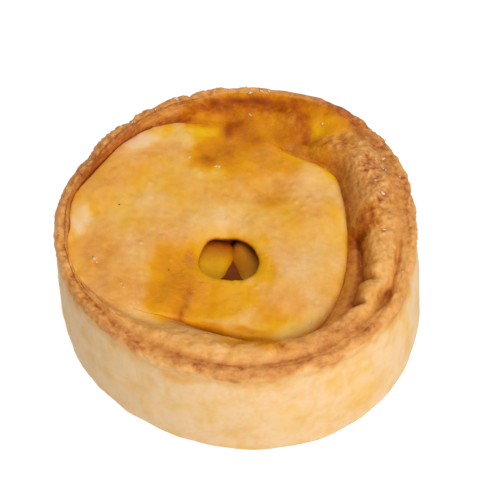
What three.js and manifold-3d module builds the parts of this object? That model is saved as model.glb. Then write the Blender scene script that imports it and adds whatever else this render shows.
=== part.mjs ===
// Curry pie with a hot-water crust: a straight-sided pastry case with a rolled rim, a sunken lid
// with a round steam hole, and the curry filling with two pieces of chicken that show in the hole.
// Millimetres, +Z up. The origin is on the table, under the middle of the pie.

import * as THREE from "three";
import { mergeVertices } from "three/addons/utils/BufferGeometryUtils.js";
import { RoundedBoxGeometry } from "three/addons/geometries/RoundedBoxGeometry.js";
import { ImprovedNoise } from "three/addons/math/ImprovedNoise.js";
import Module from "manifold-3d";

const wasm = await Module();
wasm.setup();

// A wave is [lobes round the pie, size, degrees of its first peak].
// A swell is [degrees of its middle, half width in degrees, size].
// A mound is [x, y, reach, height] on the lid.
// Degrees run anticlockwise from +X, seen from above.

// The case: foot, wall and the thin outer rim
const FOOT_RADIUS = 46.6;
const FOOT_WAVES = [[1, 1.5, -35], [2, 0.4, -70], [3, 0.75, -52]];
const FOOT_ROUNDING = 1.8;
const WALL_BELLY = 0.5;
const WALL_THICKNESS = 4.6;
const BASE_THICKNESS = 4.5;
const RIM_RADIUS = 45.9;
const RIM_WAVES = [[1, 0.45, 65], [2, 0.3, 24], [3, 0.7, -58], [5, 0.25, -32]];
const RIM_PROFILE = [[0.1, 2.1], [-0.15, 0.8], [-1.1, 0]]; // [outwards, below the crest]
const RIM_WIDTH = 2.5;
const BROW_INSET = 0.3;
const BROW_DROP = 4.2;
const CREST_HEIGHT = 31;
const CREST_WAVES = [[2, 0.2, 70], [3, 0.15, 20], [7, 0.18, 10], [11, 0.15, 25]];
const CREST_INNER_DROP = 0.6;

// The collar: the roll of pastry between the rim and the lid, from the front round to the right
const COLLAR_FROM = -128;
const COLLAR_TO = 48;
const COLLAR_FADE = 14;
const COLLAR_RISE = 0.9;
const COLLAR_SWELLS = [
  [-70, 16, -0.5], [-47, 7, -0.5], [-32, 7, 1.2], [-24, 4, -0.7],
  [-16, 6, 1], [1, 6, -0.9], [14, 7, 0.9], [32, 9, 0.4],
];
const COLLAR_ROUNDNESS = 2.4;
const LOBE_SWELLS = [[-31, 9, 3], [-100, 40, 0.8]];
const BARE_WALL_ROUNDNESS = 0.6;
const FOLD_SWELLS = [[95, 6, -0.7], [68, 6, 1], [54, 6, -1]];
const GROOVE_INSET = 1.9;
const GROOVE_WIDTH = 1.1;
const GROOVE_DEPTH = 0.7;
const GROOVE_SWELLS = [[-92, 45, 1.2], [-31, 9, 2.4], [0, 22, 0.3]];
const GROOVED_WIDTH = 4; // where the pastry is narrower than this, the groove fades

// The lid: a disc that lies inside the rim, a little to the left, and higher on the left
const LID_CENTRE = new THREE.Vector2(-6.7, 2.3);
const LID_RADIUS = 34.4;
const LID_WAVES = [[2, 1.9, -21], [3, 1.55, -42], [4, 1.7, 29], [5, 0.45, 22]];
const LID_HEIGHT = 26.3;
const LID_SLOPE = -0.05;
const LID_THICKNESS = 3.4;
const LID_MOUNDS = [
  [14, -14, 9, 0.7], [-27, -3, 11, 0.5], [-9, -21, 7, -0.8], [7, 13, 8, -0.6],
  [-10, 19, 10, 0.5], [19, 8, 7, 0.5], [-14, -8, 6, -0.5],
];
const LID_EDGE_PROFILE = [[1, 1.9], [0.995, 0.9], [0.965, 0.2]]; // [share of the way out, below the top]
const DITCH_DEPTH = 1;
const DITCH_SWELLS = [[-15, 50, 0.9], [-75, 25, 0.5], [-140, 22, -0.8]];
const LEDGE_WIDTH = 4;
const LEDGE_HEIGHT = 1.5;

// The steam hole, the well under it and the chicken in the well
const HOLE_CENTRE = new THREE.Vector2(-2.5, -6.7);
const HOLE_RADIUS = 7;
const HOLE_WAVES = [[2, 0.45, 5], [3, 0.3, 80]];
const HOLE_LIP_PROFILE = [[0.06, 0.3], [0.015, 0.8], [0, 1.3]]; // [share of the way out, below the top]
const HOLE_EDGE_THICKNESS = 2.5;
const WELL_RADIUS = 11;
const WELL_DEPTH = 6.5;
const CHICKEN = [
  { name: "chunk_left", size: [10.8, 11, 9], at: [-8.1, -5.6, 17.2], turn: [12, 12, 14] },
  { name: "chunk_right", size: [9.6, 11.5, 9], at: [3.8, -5.2, 17.2], turn: [-12, -8, -8] },
];
const CHUNK_ROUNDING = 2.6;
const CHUNK_UNEVENNESS = 0.06;
const CHUNK_GRAIN = 4;

// Clear space between pieces that touch, unevenness of the dough, and fineness of the skins
const GAP = 0.3;
const DOUGH_GRAIN = 5;
const LID_GRAIN = 9;
const WALL_UNEVENNESS = 0.3;
const CRUST_UNEVENNESS = 0.7;
const LID_UNEVENNESS = 0.35;
const WALL_SHARES = [0.06, 0.24, 0.42, 0.6, 0.8, 1];
const COLLAR_SHARES = [0, 0.07, 0.15, 0.24, 0.34, 0.46, 0.6, 0.76, 0.9, 1];
const LID_SHARES = [0.88, 0.76, 0.64, 0.52, 0.4, 0.28, 0.16];
const CASE_SEGMENTS = 128;
const LID_SEGMENTS = 112;
const FILLING_SEGMENTS = 56;
const CHUNK_SEGMENTS = 3;

const { degToRad, radToDeg, euclideanModulo, lerp, smoothstep } = THREE.MathUtils;
const AXIS = new THREE.Vector2(0, 0);
const perlin = new ImprovedNoise();

function waves(angle, terms) {
  let sum = 0;
  for (const [lobes, size, peak] of terms) {
    sum += size * Math.cos(lobes * (angle - degToRad(peak)));
  }
  return sum;
}

// Degrees from one direction to another, the short way round
function turnBetween(angle, degrees) {
  return euclideanModulo(radToDeg(angle) - degrees + 180, 360) - 180;
}

function swells(angle, terms) {
  let sum = 0;
  for (const [middle, halfWidth, size] of terms) {
    sum += size * Math.exp(-((turnBetween(angle, middle) / halfWidth) ** 2));
  }
  return sum;
}

// Uneven dough: soft lumps with lumps of half their size on them
function dough(x, y, z, height, grain = DOUGH_GRAIN) {
  const soft = perlin.noise(x / grain, y / grain, z / grain);
  const small = perlin.noise((2 * x) / grain, (2 * y) / grain, (2 * z) / grain);
  return height * (soft + 0.4 * small);
}

function polar(centre, radius, angle) {
  return new THREE.Vector2(centre.x + radius * Math.cos(angle), centre.y + radius * Math.sin(angle));
}

const footRadius = (angle) => FOOT_RADIUS + waves(angle, FOOT_WAVES);
const rimRadius = (angle) => RIM_RADIUS + waves(angle, RIM_WAVES);
const crestHeight = (angle) => CREST_HEIGHT + waves(angle, CREST_WAVES);
const lidEdge = (angle, out) => polar(LID_CENTRE, LID_RADIUS + waves(angle, LID_WAVES) + out, angle);
const holeEdge = (angle) => polar(HOLE_CENTRE, HOLE_RADIUS + waves(angle, HOLE_WAVES), angle);
const lidUnderside = (point) => LID_HEIGHT + LID_SLOPE * point.x - LID_THICKNESS;

function lidTop(point) {
  let height = LID_HEIGHT + LID_SLOPE * point.x;
  for (const [x, y, reach, rise] of LID_MOUNDS) {
    const away = Math.hypot(point.x - x, point.y - y) / reach;
    height += rise * Math.exp(-away * away);
  }
  return height;
}

// How far the pastry inside the rim is rolled into a collar, from 0 to 1
function collarShare(angle) {
  const middle = (COLLAR_FROM + COLLAR_TO) / 2;
  const reach = (COLLAR_TO - COLLAR_FROM) / 2;
  const past = Math.abs(turnBetween(angle, middle)) - reach;
  return 1 - smoothstep(past, -COLLAR_FADE, COLLAR_FADE);
}

// The height of the pastry between the rim (share 0) and the lid's edge (share 1)
function collarHeight(angle, share, width) {
  const roll = collarShare(angle);
  const roundness = COLLAR_ROUNDNESS + swells(angle, LOBE_SWELLS);
  const top = crestHeight(angle) - CREST_INNER_DROP;
  const toe = lidTop(lidEdge(angle, 0)) - DITCH_DEPTH - swells(angle, DITCH_SWELLS);
  const slope = lerp(top, toe, share ** lerp(BARE_WALL_ROUNDNESS, roundness, roll));
  const groove = GROOVE_DEPTH * roll + swells(angle, GROOVE_SWELLS);
  const fromGroove = (share * width - GROOVE_INSET) / GROOVE_WIDTH;
  const cut = groove * Math.exp(-fromGroove * fromGroove) * Math.min(1, width / GROOVED_WIDTH);
  const lumps = (COLLAR_RISE + swells(angle, COLLAR_SWELLS)) * roll + swells(angle, FOLD_SWELLS);
  return slope - cut + lumps * Math.sin(Math.PI * share);
}

// The dough's unevenness dies out towards the lid's edge and where the pastry is narrow
function collarPoint(angle, share) {
  const outer = polar(AXIS, rimRadius(angle) - RIM_WIDTH, angle);
  const inner = lidEdge(angle, GAP);
  const width = outer.distanceTo(inner);
  const { x, y } = outer.lerp(inner, share);
  const z = collarHeight(angle, share, width);
  const free = Math.min(1, width / 6) * Math.sin(Math.PI * Math.min(1, share + 0.15));
  return [x, y, z + dough(x, y, z, CRUST_UNEVENNESS * free)];
}

// A ring of the case's outside, with the dough's unevenness along its radius
function caseRing(radius, height, uneven) {
  return (angle) => {
    const z = height(angle);
    const even = polar(AXIS, radius(angle), angle);
    const { x, y } = polar(AXIS, radius(angle) + dough(even.x, even.y, z, uneven), angle);
    return [x, y, z];
  };
}

function footAndWallRows() {
  const brow = (angle) => crestHeight(angle) - BROW_DROP;
  const rows = [
    () => [0, 0, 0],
    caseRing((angle) => footRadius(angle) - FOOT_ROUNDING, () => 0, 0),
    caseRing((angle) => footRadius(angle) - FOOT_ROUNDING * 0.3, () => FOOT_ROUNDING * 0.35, 0),
  ];
  for (const share of WALL_SHARES) {
    const belly = WALL_BELLY * Math.sin(Math.PI * share);
    const radius = (angle) => lerp(footRadius(angle), rimRadius(angle) - BROW_INSET, share) + belly;
    rows.push(caseRing(radius, (angle) => share * brow(angle), WALL_UNEVENNESS));
  }
  return rows;
}

function rimRows() {
  return RIM_PROFILE.map(([out, drop]) => caseRing(
    (angle) => rimRadius(angle) + out,
    (angle) => crestHeight(angle) - drop,
    CRUST_UNEVENNESS,
  ));
}

// A ring under the lid, drawn in from its edge and down from its underside
function underLidRing(inset, drop) {
  return (angle) => {
    const point = lidEdge(angle, -inset);
    return [point.x, point.y, lidUnderside(point) - drop];
  };
}

// The hollow under the lid, from its roof down to the middle of its floor, drawn in by a clearance
function hollowRows(clear) {
  const wall = (angle) => Math.min(footRadius(angle), rimRadius(angle)) - WALL_THICKNESS - clear;
  const ring = (inset, height) => (angle) => [...polar(AXIS, wall(angle) - inset, angle), height];
  const roof = LID_HEIGHT - LID_THICKNESS - LEDGE_HEIGHT - 3 - clear;
  const floor = BASE_THICKNESS + clear;
  return [ring(0, roof), ring(0.6, floor + 2), ring(2.4, floor), () => [0, 0, floor]];
}

function caseRows() {
  return [
    ...footAndWallRows(),
    ...rimRows(),
    ...COLLAR_SHARES.map((share) => (angle) => collarPoint(angle, share)),
    underLidRing(-GAP, GAP),
    underLidRing(LEDGE_WIDTH, GAP),
    underLidRing(LEDGE_WIDTH, LEDGE_HEIGHT),
    ...hollowRows(0),
  ];
}

// A ring of the lid at a share of the way from the hole's edge to the lid's edge
function lidRing(share, height) {
  return (angle) => {
    const point = holeEdge(angle).lerp(lidEdge(angle, 0), share);
    return [point.x, point.y, height(point)];
  };
}

function lidRows() {
  const top = (drop) => (point) => {
    const height = lidTop(point);
    return height - drop + dough(point.x, point.y, height, LID_UNEVENNESS, LID_GRAIN);
  };
  const holeBottom = lidRing(0.01, (point) => lidTop(point) - HOLE_EDGE_THICKNESS);
  return [
    holeBottom,
    lidRing(0.2, lidUnderside),
    lidRing(0.98, lidUnderside),
    ...LID_EDGE_PROFILE.map(([share, drop]) => lidRing(share, top(drop))),
    ...LID_SHARES.map((share) => lidRing(share, top(0))),
    ...HOLE_LIP_PROFILE.map(([share, drop]) => lidRing(share, top(drop))),
    holeBottom,
  ];
}

function fillingRows() {
  const top = LID_HEIGHT - LID_THICKNESS - 2 * GAP;
  const wellRing = (radius, drop) => (angle) => [...polar(HOLE_CENTRE, radius, angle), top - drop];
  return [
    ...hollowRows(GAP).reverse(),
    underLidRing(LEDGE_WIDTH + GAP, 2 * GAP + LEDGE_HEIGHT),
    underLidRing(LEDGE_WIDTH + GAP, 2 * GAP),
    wellRing(WELL_RADIUS + 2, 0),
    wellRing(WELL_RADIUS, 0.6),
    wellRing(WELL_RADIUS - 1.5, WELL_DEPTH),
    wellRing(0, WELL_DEPTH),
  ];
}

// Shared points made one, with only the positions kept
function closed(geometry) {
  geometry.deleteAttribute("normal");
  geometry.deleteAttribute("uv");
  return mergeVertices(geometry, 1e-4);
}

// A closed skin of rings: each row gives the point of its ring at an angle
function skin(rows, segments) {
  const geometry = new THREE.LatheGeometry(rows.map((row, i) => new THREE.Vector2(1, i)), segments);
  const position = geometry.attributes.position;
  for (let i = 0; i <= segments; i += 1) {
    const angle = (2 * Math.PI * (i % segments)) / segments;
    rows.forEach((row, j) => position.setXYZ(i * rows.length + j, ...row(angle)));
  }
  return closed(geometry);
}

// A diced piece of chicken with soft corners, grown on all sides by an allowance
function chunk({ size, at, turn }, allowance) {
  const sides = size.map((side) => side + 2 * allowance);
  const geometry = closed(new RoundedBoxGeometry(...sides, CHUNK_SEGMENTS, CHUNK_ROUNDING + allowance));
  const position = geometry.attributes.position;
  for (let i = 0; i < position.count; i += 1) {
    const point = new THREE.Vector3().fromBufferAttribute(position, i);
    const { x, y, z } = point.clone().divideScalar(CHUNK_GRAIN);
    point.multiplyScalar(1 + CHUNK_UNEVENNESS * perlin.noise(x + at[0], y, z));
    position.setXYZ(i, ...point);
  }
  const turned = new THREE.Euler(...turn.map(degToRad));
  geometry.applyMatrix4(new THREE.Matrix4().makeRotationFromEuler(turned));
  return geometry.translate(...at);
}

function toManifold(geometry) {
  const vertProperties = new Float32Array(geometry.attributes.position.array);
  const triVerts = new Uint32Array(geometry.index.array);
  return new wasm.Manifold(new wasm.Mesh({ numProp: 3, vertProperties, triVerts }));
}

function fromManifold(solid) {
  const { vertProperties, triVerts } = solid.getMesh();
  const geometry = new THREE.BufferGeometry();
  geometry.setAttribute("position", new THREE.BufferAttribute(new Float32Array(vertProperties), 3));
  geometry.setIndex(new THREE.BufferAttribute(new Uint32Array(triVerts), 1));
  return geometry;
}

// The filling has a pocket for each piece of chicken
function fillingGeometry() {
  let solid = toManifold(skin(fillingRows(), FILLING_SEGMENTS));
  for (const piece of CHICKEN) {
    solid = solid.subtract(toManifold(chunk(piece, GAP)));
  }
  return fromManifold(solid);
}

function named(name, geometry, color, roughness) {
  geometry.computeVertexNormals();
  const material = new THREE.MeshStandardMaterial({ color, roughness, metalness: 0 });
  const mesh = new THREE.Mesh(geometry, material);
  mesh.name = name;
  return mesh;
}

const pie = new THREE.Group();
pie.add(named("case", skin(caseRows(), CASE_SEGMENTS), 0xdcb280, 0.7));
pie.add(named("lid", skin(lidRows(), LID_SEGMENTS), 0xe2a650, 0.55));
pie.add(named("filling", fillingGeometry(), 0x8a4a10, 0.4));
for (const piece of CHICKEN) {
  pie.add(named(piece.name, chunk(piece, 0), 0xb98a1c, 0.45));
}

export default pie;
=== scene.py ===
import math
import random

import bmesh
import bpy
import numpy as np
from mathutils import Euler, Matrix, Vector, noise


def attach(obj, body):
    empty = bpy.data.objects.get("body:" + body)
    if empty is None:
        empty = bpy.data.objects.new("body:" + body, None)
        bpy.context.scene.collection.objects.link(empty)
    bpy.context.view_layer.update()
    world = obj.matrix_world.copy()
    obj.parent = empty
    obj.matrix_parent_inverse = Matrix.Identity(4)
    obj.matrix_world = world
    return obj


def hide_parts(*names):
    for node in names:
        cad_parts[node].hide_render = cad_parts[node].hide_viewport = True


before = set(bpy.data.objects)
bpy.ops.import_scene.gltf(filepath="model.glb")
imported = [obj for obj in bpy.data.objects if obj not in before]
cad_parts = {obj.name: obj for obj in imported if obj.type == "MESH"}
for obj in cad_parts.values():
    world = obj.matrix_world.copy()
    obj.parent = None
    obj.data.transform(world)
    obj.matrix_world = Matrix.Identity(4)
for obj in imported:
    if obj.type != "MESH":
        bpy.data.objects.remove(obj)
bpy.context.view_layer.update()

mm = 0.001
weldDistance = 0.002 * mm
scene = bpy.context.scene

# Curry pie with a hot-water crust: case, lid, filling, two pieces of chicken and loose bits.
# A wave is (lobes round the pie, size, degrees of its first peak), a swell is (middle, half width, size) in
# degrees round the pie, a mound is (x, y, reach, height) and a layer of lumps is (size, grain, seed).
# All lengths are in mm, and degrees run from +X.


def clamp(value, low=0.0, high=1.0):
    return max(low, min(high, value))


def lerp(a, b, t):
    return a + (b - a) * t


def soften(value, low, high):
    t = clamp((value - low) / (high - low))
    return t * t * (3 - 2 * t)


def waves(angle, terms):
    return sum(size * math.cos(lobes * (angle - math.radians(peak))) for lobes, size, peak in terms)


def turnBetween(angle, degrees):
    return (math.degrees(angle) - degrees + 180) % 360 - 180


def swells(angle, terms):
    return sum(size * math.exp(-(turnBetween(angle, middle) / half) ** 2) for middle, half, size in terms)


# A value that changes round the pie: its usual size and its swells
def around(piece, name, angle):
    return piece[name] + swells(angle, piece[name + "Swells"])


def mounds(x, y, terms):
    total = 0.0
    for mx, my, reach, height in terms:
        away = ((x - mx) ** 2 + (y - my) ** 2) / (reach * reach)
        if away < 9:
            total += height * math.exp(-away)
    return total


def lumps(x, y, z, grain, seed=0.0):
    return noise.noise(Vector((x / grain + seed, y / grain - seed, z / grain + 2 * seed)))


def layeredLumps(x, y, z, layers):
    return sum(size * lumps(x, y, z, grain, seed) for size, grain, seed in layers)


def polar(centre, radius, angle):
    return centre[0] + radius * math.cos(angle), centre[1] + radius * math.sin(angle)


# The pie's form: the solids' own, with a few edges moved by less than 1 mm
form = {
    "footRadius": 46.6,
    "footWaves": [(1, 1.3, -35), (2, 0.4, -70), (3, 0.75, -52)],
    "rimRadius": 45.9,
    "rimWaves": [(1, 0.45, 65), (2, 0.3, 24), (3, 0.7, -58), (5, 0.25, -32)],
    "rimSwells": [(-4, 24, -0.9), (-172, 14, -0.5), (155, 8, -0.6), (136, 10, 0.6), (22, 9, -0.4)],
    "crestHeight": 31.0,
    "crestWaves": [(2, 0.2, 70), (3, 0.15, 20), (7, 0.18, 10), (11, 0.15, 25)],
    "lidCentre": (-6.7, 2.3),
    "lidRadius": 34.4,
    "lidWaves": [(2, 1.9, -21), (3, 1.55, -42), (4, 1.7, 29), (5, 0.45, 22)],
    "lidSwells": [
        (32, 10, 1.9), (-16, 14, 0.5), (116, 12, 0.5), (165, 25, 0.7), (167, 8, 0.6), (182, 6, -0.8),
    ],
    "lidHeight": 26.3,
    "lidSlope": -0.05,
    "lidThickness": 3.4,
    "lidMounds": [
        (14, -14, 9, 0.7), (-27, -3, 11, 0.5), (-9, -21, 7, -0.8), (6.5, 13.5, 6, -1.1),
        (-10, 19, 10, 0.5), (17, 9, 8, 0.8), (-14, -8, 6, -0.7), (-4, 26, 7, -0.5), (-15, 33, 5, 0.5),
        (-31, -19, 12, 1.5), (-41, 3, 8, 0.8), (-38, 14, 8, 1.2), (-28, 27, 8, 1.3),
    ],
    "lidLumps": [(0.45, 9.0, 0.0), (0.28, 4.0, 5.3), (0.12, 1.6, 2.2)],
    "holeCentre": (-2.5, -6.7),
    "holeRadius": 7.0,
    "holeWaves": [(2, 0.45, 5), (3, 0.3, 80)],
    "holeSwells": [(130, 24, 1.3)],
    "ditchDepth": 0.4,
    "ditchDepthSwells": [(-45, 18, 1.3), (-12, 22, 0.8), (-85, 20, 0.6)],
    "notchDepth": 0.1,
    "notchDepthSwells": [(15, 26, 1.2), (-80, 24, 0.7), (150, 40, 1.5)],
    "notchWidth": 0.7,
    "fusedSpans": [(-166, -112), (58, 98)],  # where lid and collar are pressed into one
    "fusedFade": 7,
    "crispSpan": (96, 200),  # where the lid's edge is cut square
    "crispFade": 10,
}


def footRadius(angle):
    return form["footRadius"] + waves(angle, form["footWaves"])


def rimRadius(angle):
    return form["rimRadius"] + waves(angle, form["rimWaves"]) + swells(angle, form["rimSwells"])


def crestHeight(angle):
    return form["crestHeight"] + waves(angle, form["crestWaves"])


def lidEdge(angle, out=0.0):
    radius = form["lidRadius"] + waves(angle, form["lidWaves"]) + swells(angle, form["lidSwells"])
    return polar(form["lidCentre"], radius + out, angle)


def holeEdge(angle):
    radius = form["holeRadius"] + waves(angle, form["holeWaves"]) + swells(angle, form["holeSwells"])
    return polar(form["holeCentre"], radius, angle)


def lidTop(x, y):
    return form["lidHeight"] + form["lidSlope"] * x + mounds(x, y, form["lidMounds"])


def lidSurface(x, y):
    return lidTop(x, y) + layeredLumps(x, y, 0, form["lidLumps"])


def lidUnderside(x, y):
    return form["lidHeight"] + form["lidSlope"] * x - form["lidThickness"]


# 1 inside a span of degrees and 0 outside, with soft ends
def spanShare(angle, span, fade):
    first, last = span
    past = abs(turnBetween(angle, (first + last) / 2)) - (last - first) / 2
    return 1 - soften(past, -fade, fade)


def fused(angle):
    return max(spanShare(angle, span, form["fusedFade"]) for span in form["fusedSpans"])


# Mesh helpers: a flat set of rings is spun from one line, then each ring is put in its place


def flatRings(rowCount, steps):
    bm = bmesh.new()
    inner = bm.verts.new((1, 0, 0))
    outer = bm.verts.new((rowCount, 0, 0))
    line = bm.edges.new((inner, outer))
    bmesh.ops.subdivide_edges(bm, edges=[line], cuts=rowCount - 2)
    bmesh.ops.spin(bm, geom=bm.verts[:] + bm.edges[:], cent=(0, 0, 0), axis=(0, 0, 1),
                   angle=2 * math.pi, steps=steps, use_merge=True)
    return bm


# Wraps the flat rings on to the rows and keeps each vertex's row, angle and relief
def wrapRings(bm, rows):
    keep = {
        "row": bm.verts.layers.int.new("row"),
        "angle": bm.verts.layers.float.new("angle"),
        "relief": bm.verts.layers.float.new("relief"),
    }
    for vert in bm.verts:
        row = round(vert.co.length) - 1
        angle = math.atan2(vert.co.y, vert.co.x)
        x, y, z, *relief = rows[row](angle)
        vert[keep["row"]] = row
        vert[keep["angle"]] = angle
        vert[keep["relief"]] = relief[0] if relief else 0.0
        vert.co = Vector((x, y, z)) * mm
    return keep


def closeMesh(bm):
    bmesh.ops.remove_doubles(bm, verts=bm.verts, dist=weldDistance)
    bmesh.ops.recalc_face_normals(bm, faces=bm.faces)
    for face in bm.faces:
        face.smooth = True


# Lifts each vertex off the smooth form by its relief
def raiseRelief(bm, keep):
    bm.normal_update()
    lifts = [vert.normal * vert[keep["relief"]] * mm for vert in bm.verts]
    for vert, lift in zip(bm.verts, lifts):
        vert.co += lift


def meshObject(bm, name, material):
    mesh = bpy.data.meshes.new(name)
    bm.to_mesh(mesh)
    bm.free()
    mesh.materials.append(material)
    made = bpy.data.objects.new(name, mesh)
    scene.collection.objects.link(made)
    print(name, len(mesh.polygons), "faces")
    return made


def finishPiece(bm, name, material, node=None):
    piece = meshObject(bm, name, material)
    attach(piece, "root")
    if node:
        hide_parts(node)


# Mean over a few places either way along one direction of a grid
def blurGrid(grid, reach, axis):
    wide = [(0, 0), (0, 0)]
    wide[axis] = (reach, reach)
    padded = np.pad(grid, wide, mode="wrap" if axis == 1 else "edge")
    total = np.zeros_like(grid)
    for shift in range(2 * reach + 1):
        part = [slice(None), slice(None)]
        part[axis] = slice(shift, shift + grid.shape[axis])
        total += padded[tuple(part)]
    return total / (2 * reach + 1)


def stepOf(angle, steps):
    return round(angle / (2 * math.pi) * steps) % steps


# One value for each row and step round the pie
def gridOf(bm, keep, rowCount, steps, valueOf):
    grid = np.zeros((rowCount, steps))
    for vert in bm.verts:
        grid[vert[keep["row"]], stepOf(vert[keep["angle"]], steps)] = valueOf(vert)
    return grid


# How far each place lies below its surroundings, in mm: positive in a crease, negative on a crumb
def hollowMap(grid, reachRows, reachSteps):
    soft = grid
    for _ in range(2):
        soft = blurGrid(blurGrid(soft, reachRows, 0), reachSteps, 1)
    return soft - grid


# Shader helpers


def newMaterial(name):
    material = bpy.data.materials.new(name)
    material.use_nodes = True
    tree = material.node_tree
    shader = tree.nodes["Principled BSDF"]
    return material, tree, shader


def setSockets(shader, values):
    for name, value in values.items():
        shader.inputs[name].default_value = value


def addNode(tree, kind, settings=None, inputs=None):
    node = tree.nodes.new(kind)
    for key, value in (settings or {}).items():
        setattr(node, key, value)
    for key, value in (inputs or {}).items():
        if isinstance(value, bpy.types.NodeSocket):
            tree.links.new(value, node.inputs[key])
        else:
            node.inputs[key].default_value = value
    return node


def objectPlace(tree):
    return addNode(tree, "ShaderNodeTexCoord").outputs["Object"]


def attributeOf(tree, name):
    return addNode(tree, "ShaderNodeAttribute", {"attribute_name": name}).outputs["Fac"]


def mathNode(tree, operation, a, b, clampIt=False):
    node = addNode(tree, "ShaderNodeMath", {"operation": operation, "use_clamp": clampIt}, {0: a, 1: b})
    return node.outputs[0]


def mixColour(tree, share, a, b, blend="MIX"):
    node = addNode(tree, "ShaderNodeMix", {"data_type": "RGBA", "blend_type": blend},
                   {"Factor": share, 6: a, 7: b})
    return node.outputs[2]


def ramp(tree, value, stops):
    node = addNode(tree, "ShaderNodeValToRGB", None, {"Fac": value})
    band = node.color_ramp
    while len(band.elements) < len(stops):
        band.elements.new(0.5)
    for element, (place, colour) in zip(band.elements, stops):
        element.position = place
        element.color = (*colour, 1)
    return node.outputs["Color"]


def mapRange(tree, value, toMin, toMax, fromMin=0.0, fromMax=1.0):
    node = addNode(tree, "ShaderNodeMapRange", None,
                   {"Value": value, "From Min": fromMin, "From Max": fromMax,
                    "To Min": toMin, "To Max": toMax})
    return node.outputs[0]


def noiseNode(tree, place, size, detail=3.0, rough=0.55):
    node = addNode(tree, "ShaderNodeTexNoise", None,
                   {"Vector": place, "Scale": 1 / (size * mm), "Detail": detail, "Roughness": rough})
    return node.outputs["Fac"]


def addBump(tree, shader, height, strength, distance):
    bump = addNode(tree, "ShaderNodeBump", None,
                   {"Height": height, "Strength": strength, "Distance": distance})
    tree.links.new(bump.outputs["Normal"], shader.inputs["Normal"])


def addScatter(shader, weight, tint, depth):
    setSockets(shader, {"Subsurface Weight": weight, "Subsurface Radius": tint,
                        "Subsurface Scale": depth * mm})


# Pastry: browning runs from raw cream to dark brown, curry stains it yellow, fat makes it shine, and painted
# shade darkens the creases
pastry = {
    "layers": ("bake", "curry", "fat", "paintedShade"),  # painted on each vertex
    "bakeStops": [
        (0.0, (0.82, 0.56, 0.31)), (0.22, (0.79, 0.48, 0.19)), (0.45, (0.745, 0.36, 0.10)),
        (0.66, (0.61, 0.25, 0.06)), (0.83, (0.42, 0.108, 0.02)), (1.0, (0.2, 0.042, 0.008)),
    ],
    "curryTint": (0.97, 0.8, 0.02, 1),
    # tint of the painted shade in the creases
    "paintedShadeTint": (0.45, 0.26, 0.12, 1),
    "mottleSize": 3.2,
    "mottleBake": 0.28,
    "speckSize": 0.6,
    "speckBake": 0.28,
    "soakedCalm": 0.5,  # sauce evens out the browning
    "mottleWet": 0.6,
    "speckWet": 0.9,
    "stainSize": 5.0,
    "stainSpread": 0.88,
    "mostCurry": 1.5,
    "dryRough": 0.6,
    "fatRough": 0.16,
    "grainSize": 1.1,
    "paleBump": 0.06,
    "grainBump": 0.4,
    "bumpBake": (0.42, 0.66),  # the grain deepens between these two tones
    "bumpStrength": 0.8,
    "scatter": 0.10,
    "scatterDepth": 1.2,
    "scatterTint": (1.0, 0.45, 0.15),
    "drySpecular": 0.04,
    "fatSpecular": 0.4,
    "patchReach": 2.6,  # a patch ends at this many times its half length
    "patchEdge": 1.8,  # higher gives patches a crisper edge
    "unevenBake": [(0.5, 8.0, 21.3), (0.35, 3.2, 23.9), (0.3, 1.3, 27.1)],
    "unevenStain": [(0.6, 6.5, 31.7), (0.4, 2.4, 37.3)],
    "wander": (2.2, 4.5),  # size and grain
    "wanderSeeds": (11.3, 17.9),
}


def makePastry(name):
    material, tree, shader = newMaterial(name)
    place = objectPlace(tree)
    bake, curry, fat, paintedShade = (attributeOf(tree, layer) for layer in pastry["layers"])

    # Each noise runs about zero, so that it lightens as often as it darkens
    mottle = mathNode(tree, "SUBTRACT", noiseNode(tree, place, pastry["mottleSize"], 4), 0.5)
    speck = mathNode(tree, "SUBTRACT", noiseNode(tree, place, pastry["speckSize"], 2), 0.5)
    stain = mathNode(tree, "SUBTRACT", noiseNode(tree, place, pastry["stainSize"], 5, 0.6), 0.5)

    shift = mathNode(tree, "ADD", mathNode(tree, "MULTIPLY", mottle, pastry["mottleBake"]),
                     mathNode(tree, "MULTIPLY", speck, pastry["speckBake"]))
    soaked = mathNode(tree, "MULTIPLY", curry, pastry["soakedCalm"])
    calm = mathNode(tree, "SUBTRACT", 1.0, soaked, clampIt=True)
    browning = mathNode(tree, "ADD", bake, mathNode(tree, "MULTIPLY", shift, calm), clampIt=True)
    colour = ramp(tree, browning, pastry["bakeStops"])
    spread = mathNode(tree, "MULTIPLY", stain, mathNode(tree, "MULTIPLY", curry, pastry["stainSpread"]))
    yellow = mathNode(tree, "ADD", curry, spread, clampIt=True)
    stained = mixColour(tree, 1.0, colour, pastry["curryTint"], "MULTIPLY")
    colour = mixColour(tree, yellow, colour, stained)
    # Painted shade: the colour darkens in the creases, by the painted shade layer
    shaded = mixColour(tree, 1.0, colour, pastry["paintedShadeTint"], "MULTIPLY")
    colour = mixColour(tree, paintedShade, colour, shaded)
    tree.links.new(colour, shader.inputs["Base Color"])

    spots = mathNode(tree, "ADD", mathNode(tree, "MULTIPLY", mottle, pastry["mottleWet"]),
                     mathNode(tree, "MULTIPLY", speck, pastry["speckWet"]))
    wet = mathNode(tree, "ADD", fat, spots, clampIt=True)
    rough = mapRange(tree, wet, pastry["dryRough"], pastry["fatRough"])
    tree.links.new(rough, shader.inputs["Roughness"])
    shine = mapRange(tree, wet, pastry["drySpecular"], pastry["fatSpecular"])
    tree.links.new(shine, shader.inputs["Specular IOR Level"])

    depth = mapRange(tree, bake, pastry["paleBump"] * mm, pastry["grainBump"] * mm, *pastry["bumpBake"])
    grain = noiseNode(tree, place, pastry["grainSize"], 4, 0.65)
    addBump(tree, shader, grain, pastry["bumpStrength"], depth)
    addScatter(shader, pastry["scatter"], pastry["scatterTint"], pastry["scatterDepth"])
    return material


def pointLayers(bm):
    return {name: bm.verts.layers.float.new(name) for name in pastry["layers"]}


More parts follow.
